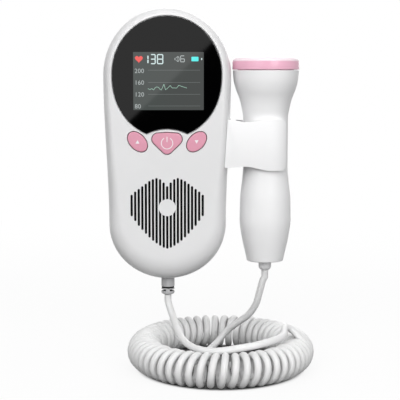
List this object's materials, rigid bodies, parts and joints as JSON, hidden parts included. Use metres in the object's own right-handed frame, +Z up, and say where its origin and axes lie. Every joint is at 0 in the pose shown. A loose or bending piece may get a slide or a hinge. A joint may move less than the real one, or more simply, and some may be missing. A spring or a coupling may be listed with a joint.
{
  "type": "fetal doppler monitor",
  "caption": "Pocket fetal doppler with display, three keys, heart grille, battery bay, and a hand probe in a side clip on a curly cord.",
  "frame": {"origin": "centre of the display unit's flat back face", "axes": "+Z up along the unit's height, -Y the direction the display faces, +X to the right of someone who reads the display"},
  "size_m": [0.1082, 0.1134, 0.1847],
  "materials": {
    "case_white": "satin gloss",
    "probe_white": "gloss",
    "key_pink": "satin",
    "ring_pink": "gloss",
    "face_cream": "gloss",
    "lens_black": "high gloss",
    "display_grey": "smooth",
    "board_green": "satin",
    "dark_plastic": "matte",
    "cloth_black": "woven",
    "steel": "brushed",
    "cell_wrap": "satin wrap",
    "crystal": "ceramic",
    "backing_brown": "matte",
    "relief_grey": "satin",
    "cord_white": "satin"
  },
  "bodies": {
    "casing": {"front_shell": "case_white", "rear_shell": "case_white", "battery_1": "cell_wrap", "battery_2": "cell_wrap", "bridge_contact": "steel", "plus_contact": "steel", "minus_contact": "steel", "bridge_spring": "steel", "minus_spring": "steel", "case_screw_1": "steel", "case_screw_2": "steel", "case_screw_3": "steel", "case_screw_4": "steel", "display_lens": "lens_black", "lcd_module": "display_grey", "main_board": "board_green", "power_switch": "dark_plastic", "up_switch": "dark_plastic", "down_switch": "dark_plastic", "speaker": "dark_plastic", "speaker_cloth": "cloth_black", "probe_clip": "case_white", "unit_strain_relief": "relief_grey", "unit_lead": "cord_white", "curly_cord": "cord_white", "probe_lead": "cord_white"},
    "power_key": {"power_button": "key_pink", "power_plunger": "dark_plastic"},
    "up_key": {"up_button": "key_pink", "up_plunger": "dark_plastic"},
    "down_key": {"down_button": "key_pink", "down_plunger": "dark_plastic"},
    "cover": {"battery_cover": "case_white"},
    "probe": {"probe_housing": "probe_white", "probe_head_ring": "ring_pink", "probe_face": "face_cream", "transmit_crystal": "crystal", "receive_crystal": "crystal", "crystal_backing": "backing_brown", "probe_board": "board_green", "probe_strain_relief": "relief_grey"}
  },
  "joints": [
    {"name": "power_press", "type": "slide", "parent": "casing", "child": "power_key", "axis": [0, 1, 0], "range_m": [0, 0.0005], "stiffness_N_per_m": 3000},
    {"name": "up_press", "type": "slide", "parent": "casing", "child": "up_key", "axis": [0, 1, 0], "range_m": [0, 0.0005], "stiffness_N_per_m": 3000},
    {"name": "down_press", "type": "slide", "parent": "casing", "child": "down_key", "axis": [0, 1, 0], "range_m": [0, 0.0005], "stiffness_N_per_m": 3000},
    {"name": "cover_hinge", "type": "hinge", "parent": "casing", "child": "cover", "pos_m": [0, 0, -0.0048], "axis": [1, 0, 0], "range_deg": [0, 80]},
    {"name": "probe_pull", "type": "slide", "parent": "casing", "child": "probe", "axis": [1, 0, 0], "range_m": [0, 0.045], "deforming": ["probe_clip"]}
  ]
}
